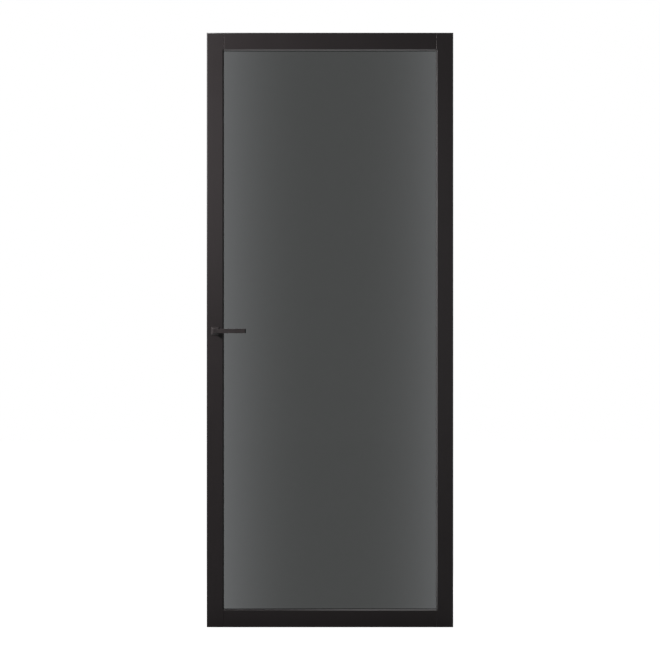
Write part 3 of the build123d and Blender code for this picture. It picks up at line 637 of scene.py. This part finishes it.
# %% Finishes on the solids
FINISHES = {
    "black_lacquer": upright_lacquer,
    "smoked_glass": smoked_glass,
    "lever_black": lever_black,
    "lock_black": lock_black,
    "hinge_steel": hinge_steel,
    "seal_rubber": seal_rubber,
    "nylon": nylon,
    "dowel_beech": dowel_beech,
    "steel": zinc_steel,
    "magnet_nickel": magnet_nickel,
}
CROSS_PIECES = ("top_rail", "bottom_rail", "top_bead", "bottom_bead")


def dress(obj, finish):
    """Give an object one finish in its only material slot."""
    if not obj.material_slots:
        obj.data.materials.append(finish)
    for slot in obj.material_slots:
        slot.material = finish


for subpart in frame["record"]["subparts"]:
    name = subpart["node"]
    finish = cross_lacquer if name in CROSS_PIECES else FINISHES[subpart["material_slot"]]
    dress(nodes[name], finish)

# %% [markdown]
# ## Starting shapes
# Each new piece starts as a primitive, a block or a round rod. Its size and place are applied at once, so
# that the object itself stays at the origin and rides its body as the solids do.

# %% Starting shapes
ROUND_SIDES = 40
ALONG_Y = (math.pi / 2, 0, 0)
ALONG_Z = (0, 0, 0)


def take(obj):
    """Make an object the only selected and the active one."""
    bpy.ops.object.select_all(action="DESELECT")
    obj.select_set(True)
    bpy.context.view_layer.objects.active = obj


def add_block(name, low, high):
    """A cube stretched between two corners, its place kept in its mesh."""
    bpy.ops.object.select_all(action="DESELECT")
    middle = [(a + b) / 2 for a, b in zip(low, high)]
    extent = [b - a for a, b in zip(low, high)]
    bpy.ops.mesh.primitive_cube_add(size=1, location=middle, scale=extent)
    block = bpy.context.object
    block.name = name
    bpy.ops.object.transform_apply(location=True, rotation=True, scale=True)
    return block


def add_rod(name, low, high, radius, axis_turn):
    """A round rod between two points on one axis, turned onto that axis."""
    bpy.ops.object.select_all(action="DESELECT")
    middle = [(a + b) / 2 for a, b in zip(low, high)]
    length = math.dist(low, high)
    bpy.ops.mesh.primitive_cylinder_add(
        vertices=ROUND_SIDES, radius=radius, depth=length, location=middle, rotation=axis_turn
    )
    rod = bpy.context.object
    rod.name = name
    bpy.ops.object.transform_apply(location=True, rotation=True, scale=True)
    return rod


print("block and rod ready")

# %% [markdown]
# ## Shaping
# By hand one would click on faces. In a script they are found by where they lie and which way they look,
# and an operator then acts on them. Sockets and holes could be built face by face too, but cutting a second
# solid away with a Boolean modifier is how a drill or a punch makes them.

# %% Shaping
FACING = 0.9


def pick_faces(obj, test):
    """In edit mode, select the faces whose centre and normal pass a test."""
    bpy.ops.mesh.select_mode(type="FACE")
    bpy.ops.mesh.select_all(action="DESELECT")
    bpy.ops.object.mode_set(mode="OBJECT")
    for face in obj.data.polygons:
        face.select = test(face.center, face.normal)
    bpy.ops.object.mode_set(mode="EDIT")


def combine(obj, tool, operation):
    """Join a tool's solid to an object or take it away, and remove the tool."""
    take(obj)
    change = obj.modifiers.new("combine", "BOOLEAN")
    change.operation = operation
    change.solver = "EXACT"
    change.object = tool
    bpy.ops.object.modifier_apply(modifier=change.name)
    bpy.data.objects.remove(tool, do_unlink=True)


print("face picking and Boolean ready")

# %% [markdown]
# ## Edges and finish
# No real edge is perfectly sharp. A Bevel modifier rounds only edges past an angle, and weighted normals
# keep the large faces flat to the eye. The last helper gives a piece its finish and its body.

# %% Edges and finish
FLAT_ANGLE = math.radians(1)
SMOOTH_ANGLE = math.radians(35)


def shade_flats(obj):
    """Smooth shading in which the large flat faces keep their own direction."""
    take(obj)
    bpy.ops.object.shade_smooth_by_angle(angle=SMOOTH_ANGLE)
    change = obj.modifiers.new("flats", "WEIGHTED_NORMAL")
    change.keep_sharp = True
    bpy.ops.object.modifier_apply(modifier=change.name)


def round_edges(obj, width, segments, sharper_than):
    """Round all edges sharper than an angle and shade the rest smooth."""
    take(obj)
    change = obj.modifiers.new("rounding", "BEVEL")
    change.width = width
    change.segments = segments
    change.limit_method = "ANGLE"
    change.angle_limit = sharper_than
    bpy.ops.object.modifier_apply(modifier=change.name)
    shade_flats(obj)


def finish_piece(obj, body, slot, finish, *hidden):
    """Let a piece ride its body, wear its finish and take the place of CAD nodes."""
    dress(obj, finish)
    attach(obj, body)
    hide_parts(*hidden)
    print(obj.name, "rides", body, "with", len(obj.data.polygons), "faces")


print("edge and finish helpers ready")

# %% [markdown]
# ## Levers
# The lever is one square bar with a square neck turned back to the door and a round journal that goes into
# the rose. It could be three joined blocks, but the neck and the bar of the real lever are one casting, so
# it starts as the block at their elbow and both are extruded from it. Its edges are rounded by less than a
# millimetre, enough to carry the thin light line along the bar. The square socket for the spindle and the
# grub screw's hole are cut last.

# %% Levers
ARRIS = 0.0009
NECK_WIDTH = 0.013
BAR_DEPTH = 0.010
JOURNAL_LENGTH = 0.016
JOURNAL_RADIUS = 0.007
GRUB_HOLE = 0.00255
SOCKET_ROOM = 0.0001
SOCKET_END_ROOM = 0.001
LAP = 0.003

axis_x, axis_z = lever_axis
spindle_low, spindle_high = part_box("spindle")
grub_low, grub_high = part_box("lever_grub_screws")
grub_reach = grub_high.y - (grub_high.x - grub_low.x) / 2


def build_lever(name, node, side):
    """A lever in the place of its node; side is -1 in front of the leaf and 1 behind it."""
    low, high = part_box(node)
    face = side * max(abs(low.y), abs(high.y))
    journal_end = side * min(abs(low.y), abs(high.y))
    bar_back = face - side * BAR_DEPTH
    neck_end = journal_end + side * JOURNAL_LENGTH
    bar_end = axis_x - NECK_WIDTH / 2
    elbow = axis_x + NECK_WIDTH / 2
    near, far = sorted((face, bar_back))
    lever = add_block(name, (bar_end, near, low.z), (elbow, far, high.z))
    bpy.ops.object.mode_set(mode="EDIT")
    pick_faces(lever, lambda centre, normal: normal.x > FACING)
    bpy.ops.mesh.extrude_region_move(TRANSFORM_OT_translate={"value": (high.x - elbow, 0, 0)})
    pick_faces(lever, lambda centre, normal: normal.y * side < -FACING and centre.x < elbow)
    bpy.ops.mesh.extrude_region_move(TRANSFORM_OT_translate={"value": (0, neck_end - bar_back, 0)})
    bpy.ops.mesh.select_all(action="SELECT")
    bpy.ops.mesh.dissolve_limited(angle_limit=FLAT_ANGLE)
    bpy.ops.mesh.normals_make_consistent(inside=False)
    bpy.ops.object.mode_set(mode="OBJECT")
    round_edges(lever, ARRIS, segments=4, sharper_than=math.radians(40))
    start = (axis_x, neck_end + side * LAP, axis_z)
    end = (axis_x, journal_end, axis_z)
    combine(lever, add_rod("journal", start, end, JOURNAL_RADIUS, ALONG_Y), "UNION")
    deep = side * (spindle_high.y + SOCKET_END_ROOM)
    near, far = sorted((deep, journal_end - side * LAP))
    socket_low = (spindle_low.x - SOCKET_ROOM, near, spindle_low.z - SOCKET_ROOM)
    socket_high = (spindle_high.x + SOCKET_ROOM, far, spindle_high.z + SOCKET_ROOM)
    combine(lever, add_block("socket", socket_low, socket_high), "DIFFERENCE")
    start = (axis_x, side * grub_reach, low.z - LAP)
    end = (axis_x, side * grub_reach, axis_z)
    combine(lever, add_rod("grub hole", start, end, GRUB_HOLE, ALONG_Z), "DIFFERENCE")
    shade_flats(lever)
    finish_piece(lever, "handle", "lever_black", lever_black, node)


build_lever("front_lever_cast", "front_lever", -1)
build_lever("rear_lever_cast", "rear_lever", 1)

# %% [markdown]
# ## Roses
# Each rose is a shallow pressed cap: a square whose face rises from all four sides in a broad, low bevel,
# with thin walls, open at the back, and a round hole for the lever. It starts as the square's rim. The face
# is drawn forward and made smaller, the back is removed, and a Solidify modifier gives the sheet its
# thickness.

# %% Roses
ROSE_BEVEL = 0.0064
ROSE_BEVEL_ANGLE = math.radians(30)
ROSE_WALL = 0.0012
ROSE_HOLE = 0.0075
PRESSED_EDGE = 0.0003


def build_rose(name, node, side):
    """A pressed square cap in the place of its node."""
    low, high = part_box(node)
    wall = side * min(abs(low.y), abs(high.y))
    face = side * max(abs(low.y), abs(high.y))
    rise = ROSE_BEVEL * math.tan(ROSE_BEVEL_ANGLE)
    near, far = sorted((wall, face - side * rise))
    rose = add_block(name, (low.x, near, low.z), (high.x, far, high.z))
    bpy.ops.object.mode_set(mode="EDIT")
    pick_faces(rose, lambda centre, normal: normal.y * side > FACING)
    bpy.ops.mesh.extrude_region_move(TRANSFORM_OT_translate={"value": (0, side * rise, 0)})
    share = 1 - 2 * ROSE_BEVEL / (high.x - low.x)
    bpy.ops.transform.resize(value=(share, 1, share), center_override=(axis_x, face, axis_z))
    pick_faces(rose, lambda centre, normal: normal.y * side < -FACING)
    bpy.ops.mesh.delete(type="FACE")
    bpy.ops.object.mode_set(mode="OBJECT")
    take(rose)
    sheet = rose.modifiers.new("sheet", "SOLIDIFY")
    sheet.thickness = ROSE_WALL
    sheet.offset = -1
    sheet.use_even_offset = True
    bpy.ops.object.modifier_apply(modifier=sheet.name)
    start = (axis_x, low.y - LAP, axis_z)
    end = (axis_x, high.y + LAP, axis_z)
    combine(rose, add_rod("rose hole", start, end, ROSE_HOLE, ALONG_Y), "DIFFERENCE")
    round_edges(rose, PRESSED_EDGE, segments=2, sharper_than=math.radians(25))
    finish_piece(rose, "leaf", "lever_black", lever_black, node)


build_rose("front_rose_pressed", "front_rose_cap", -1)
build_rose("rear_rose_pressed", "rear_rose_cap", 1)

# %% [markdown]
# ## Screws
# The screws of the hinges and the faceplate are countersunk with a cross recess. One is turned from a
# cylinder as wide as its head: the lower end is narrowed to the shank and drawn out, and the cross is cut.

# %% Screws
RECESS_SHARE = 0.6
RECESS_SLOT = 0.3
RECESS_DEPTH = 0.5
TIP_SHARE = 0.35
TIP_LENGTH = 2


def turn_screw(name, head, shank, length):
    """A countersunk screw along -Z with its head's face at the origin."""
    taper = head - shank
    screw = add_rod(name, (0, 0, -taper), (0, 0, 0), head, ALONG_Z)
    bpy.ops.object.mode_set(mode="EDIT")
    pick_faces(screw, lambda centre, normal: normal.z < -FACING)
    narrow = shank / head
    bpy.ops.transform.resize(value=(narrow, narrow, 1), center_override=(0, 0, -taper))
    tip = TIP_LENGTH * shank
    bpy.ops.mesh.extrude_region_move(TRANSFORM_OT_translate={"value": (0, 0, taper + tip - length)})
    bpy.ops.mesh.extrude_region_move(TRANSFORM_OT_translate={"value": (0, 0, -tip)})
    bpy.ops.transform.resize(value=(TIP_SHARE, TIP_SHARE, 1), center_override=(0, 0, -length))
    bpy.ops.mesh.select_all(action="SELECT")
    bpy.ops.mesh.normals_make_consistent(inside=False)
    bpy.ops.object.mode_set(mode="OBJECT")
    arm = head * RECESS_SHARE
    slot = head * RECESS_SLOT / 2
    sunk = -head * RECESS_DEPTH
    combine(screw, add_block("slot", (-arm, -slot, sunk), (arm, slot, head)), "DIFFERENCE")
    combine(screw, add_block("slot", (-slot, -arm, sunk), (slot, arm, head)), "DIFFERENCE")
    take(screw)
    bpy.ops.object.shade_smooth_by_angle(angle=SMOOTH_ANGLE)
    return screw


print("screw model ready")

# %% [markdown]
# ## Driving the screws
# Copies of a screw go to the holes, each with its own mesh and turned a little differently, as they are when
# tightened by hand. The holes follow from the boxes of the CAD screws that they replace.

# %% Driving the screws
SCREW_TURN = math.radians(37)
SCREW_SHANK = 0.002
HINGE_HEAD = 0.0035
WING_HOLE_Y = 0.0045
WING_HOLE_Z = 0.030
PLATE_HEAD = 0.0039


def drive_screws(name, model, places, facing, body, slot, finish, node):
    """Copies of a screw at their places, heads facing along X, as one piece."""
    driven = []
    for number, place in enumerate(places):
        copy = model.copy()
        copy.data = model.data.copy()
        bpy.context.collection.objects.link(copy)
        copy.rotation_mode = "XYZ"
        copy.rotation_euler = (0, 0, SCREW_TURN * number)
        take(copy)
        bpy.ops.object.transform_apply(location=True, rotation=True, scale=True)
        copy.rotation_euler = (0, facing * math.pi / 2, 0)
        copy.location = place
        bpy.ops.object.transform_apply(location=True, rotation=True, scale=True)
        driven.append(copy)
    for copy in driven:
        copy.select_set(True)
    bpy.context.view_layer.objects.active = driven[0]
    bpy.ops.object.join()
    piece = bpy.context.object
    piece.name = name
    bpy.data.objects.remove(model, do_unlink=True)
    finish_piece(piece, body, slot, finish, node)


hinge_boxes = [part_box(f"{level}_leaf_wing") for level in ("upper", "middle", "lower")]
hinge_levels = [(low.z + high.z) / 2 for low, high in hinge_boxes]
screws_low, screws_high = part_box("hinge_screws")
row_y = (screws_low.y + screws_high.y) / 2
hinge_holes = [
    (screws_high.x, row_y + side * WING_HOLE_Y, level + end * WING_HOLE_Z)
    for level in hinge_levels
    for side in (-1, 1)
    for end in (-1, 1)
]
model = turn_screw("hinge screw", HINGE_HEAD, SCREW_SHANK, screws_high.x - screws_low.x)
drive_screws("hinge_screws_driven", model, hinge_holes, 1, "leaf", "hinge_steel", hinge_steel, "hinge_screws")

plate_low, plate_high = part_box("faceplate_screws")
plate_y = (plate_low.y + plate_high.y) / 2
plate_holes = [(plate_low.x, plate_y, z) for z in (plate_low.z + PLATE_HEAD, plate_high.z - PLATE_HEAD)]
model = turn_screw("faceplate screw", PLATE_HEAD, SCREW_SHANK, plate_high.x - plate_low.x)
drive_screws(
    "faceplate_screws_driven", model, plate_holes, -1, "leaf", "lock_black", lock_black, "faceplate_screws"
)

# %% [markdown]
# ## Softened steel
# Hinges, pins and the latch bolt are pressed, turned or cast, and their edges catch a line of light that a
# perfectly sharp solid doesn't have. Each is a merged copy of its solid with its flat faces made whole and
# a fine Bevel on the sharp edges. The three hinges are alike, so the lowest one is eased and then copied.

# %% Softened steel
WING_EDGE = 0.00018
PIN_EDGE = 0.00025
BOLT_EDGE = 0.0003
MERGE_DISTANCE = 0.000005


def ease(node, rounding):
    """A merged copy of a node's solid with its sharp edges eased."""
    piece = bpy.data.objects.new(f"{node}_eased", nodes[node].data.copy())
    bpy.context.collection.objects.link(piece)
    take(piece)
    bpy.ops.object.mode_set(mode="EDIT")
    bpy.ops.mesh.select_all(action="SELECT")
    bpy.ops.mesh.remove_doubles(threshold=MERGE_DISTANCE)
    bpy.ops.mesh.dissolve_limited(angle_limit=FLAT_ANGLE)
    bpy.ops.mesh.normals_make_consistent(inside=False)
    bpy.ops.object.mode_set(mode="OBJECT")
    round_edges(piece, rounding, segments=2, sharper_than=math.radians(40))
    return piece


def raise_copy(model, name, rise):
    """A copy of a piece with its own mesh, higher by a distance."""
    copy = bpy.data.objects.new(name, model.data.copy())
    bpy.context.collection.objects.link(copy)
    take(copy)
    bpy.ops.transform.translate(value=(0, 0, rise))
    bpy.ops.object.transform_apply(location=True, rotation=True, scale=True)
    return copy


for part, body, rounding in (
    ("leaf_wing", "leaf", WING_EDGE),
    ("frame_wing", "hinge_frame_side", WING_EDGE),
    ("hinge_pin", "hinge_frame_side", PIN_EDGE),
):
    model = ease(f"lower_{part}", rounding)
    model_low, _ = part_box(f"lower_{part}")
    for level in ("upper", "middle"):
        node = f"{level}_{part}"
        low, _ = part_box(node)
        copy = raise_copy(model, f"{node}_eased", low.z - model_low.z)
        finish_piece(copy, body, "hinge_steel", hinge_steel, node)
    finish_piece(model, body, "hinge_steel", hinge_steel, f"lower_{part}")
finish_piece(ease("latch_bolt", BOLT_EDGE), "latch", "steel", zinc_steel, "latch_bolt")

# %% [markdown]
# ## Light for the steel
# The dim room suits the lacquer and the glass, but bare metal shows only what it mirrors and would look
# black in it. The world could be brighter for everything, which would turn the lacquer grey. Instead, large
# soft panels on five sides are linked to the steel pieces alone and give them something pale to mirror.

# %% Light for the steel
PANEL_SIZE = 2.6
PANEL_REACH = 3.0
PANEL_RADIANCE = 0.6
METALS = (hinge_steel, zinc_steel, magnet_nickel)

steel_only = bpy.data.collections.new("steel only")
for obj in bpy.context.scene.objects:
    if obj.type == "MESH" and obj.active_material in METALS:
        steel_only.objects.link(obj)
middle = (0, 0, leaf_middle)
for way in ((-1, 0, 0), (1, 0, 0), (0, -1, 0), (0, 1, 0), (0, 0, 1)):
    place = [PANEL_REACH * share + start for share, start in zip(way, middle)]
    power = PANEL_RADIANCE * math.pi * PANEL_SIZE * PANEL_SIZE
    panel = add_lamp("panel for the steel", place, middle, PANEL_SIZE, PANEL_SIZE, power)
    panel.light_linking.receiver_collection = steel_only
